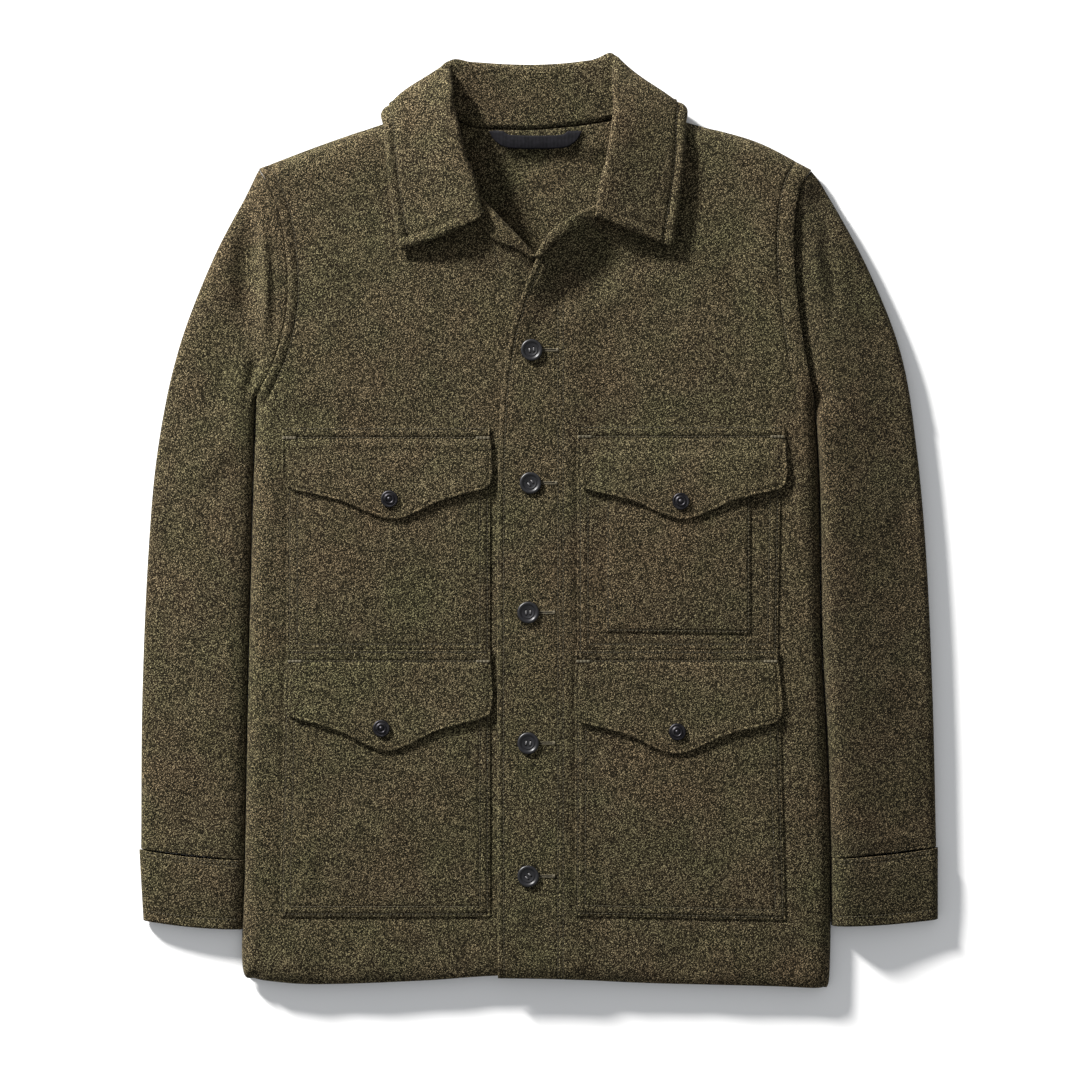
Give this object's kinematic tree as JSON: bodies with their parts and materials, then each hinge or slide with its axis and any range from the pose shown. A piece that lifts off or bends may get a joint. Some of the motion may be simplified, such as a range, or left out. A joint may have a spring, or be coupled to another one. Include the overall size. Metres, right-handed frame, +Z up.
{
  "type": "wool coat",
  "caption": "Hip-length olive wool work coat laid flat and buttoned, with a convertible collar, patch pockets under pointed snap flaps and plain cuffs.",
  "frame": {"origin": "On the surface the coat lies on, under the middle of its outline.", "axes": "+X from the wearer's right to the wearer's left, +Y from the hem to the collar, +Z up from the back panel to the fronts."},
  "size_m": [0.7, 0.816, 0.0246],
  "materials": {
    "wool": "heathered olive-brown milled wool twill with a pale fleck and a soft nap",
    "loop_tape": "near-black woven tape",
    "button_plastic": "dark polished four-hole button with a raised rim",
    "snap_metal": "glossy gunmetal snap cap with a plain ring"
  },
  "bodies": {
    "root": {"back": "wool", "front_left": "wool", "front_right": "wool", "sleeve_left": "wool", "sleeve_right": "wool", "cuff_left": "wool", "cuff_right": "wool", "collar": "wool", "pocket_upper_left": "wool", "pocket_upper_right": "wool", "pocket_pen": "wool", "pocket_lower_left": "wool", "pocket_lower_right": "wool", "flap_upper_left": "wool", "flap_upper_right": "wool", "flap_lower_left": "wool", "flap_lower_right": "wool", "hanger_loop": "loop_tape", "button_1": "button_plastic", "button_2": "button_plastic", "button_3": "button_plastic", "button_4": "button_plastic", "button_5": "button_plastic", "snap_upper_left": "snap_metal", "snap_upper_right": "snap_metal", "snap_lower_left": "snap_metal", "snap_lower_right": "snap_metal"}
  },
  "joints": []
}
